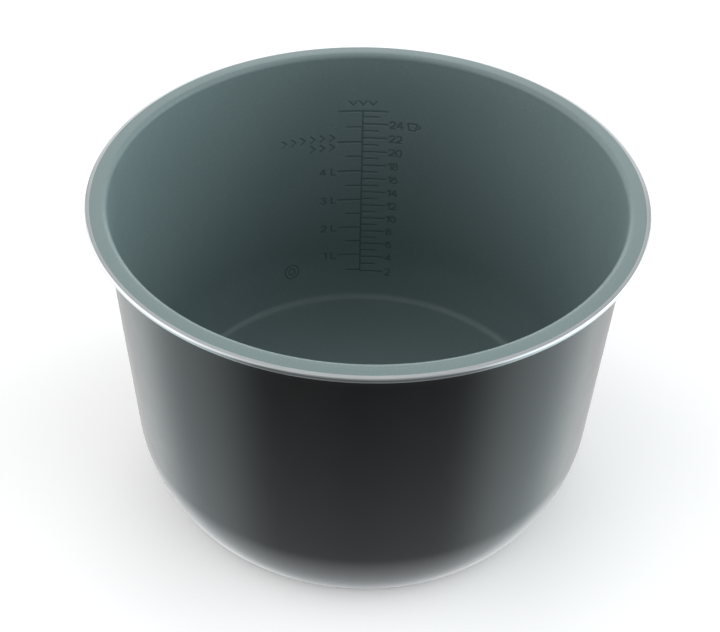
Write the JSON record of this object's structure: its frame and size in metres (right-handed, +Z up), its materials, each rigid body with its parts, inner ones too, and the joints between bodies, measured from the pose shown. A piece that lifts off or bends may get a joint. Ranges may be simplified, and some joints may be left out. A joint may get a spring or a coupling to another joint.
{
  "type": "pressure cooker inner pot",
  "caption": "Deep round cooking pot with flat flanged rim, non-stick grey inside with an embossed measuring scale and satin black outside, for a pressure cooker.",
  "frame": {"origin": "centre of the base, on the plane of the standing ring", "axes": "+Z up along the pot's axis, out of its mouth; the measuring scale is on the inside wall at +Y, a little towards -X"},
  "size_m": [0.27, 0.27, 0.17],
  "materials": {
    "bare_aluminium": "turned, satin",
    "grey_non_stick": "ceramic-type non-stick coating, semi-gloss, fine metallic fleck",
    "satin_black": "satin heat-resistant coating"
  },
  "bodies": {
    "root": {"pot_body": "bare_aluminium", "inner_coating": "grey_non_stick", "outer_coating": "satin_black"}
  },
  "joints": []
}
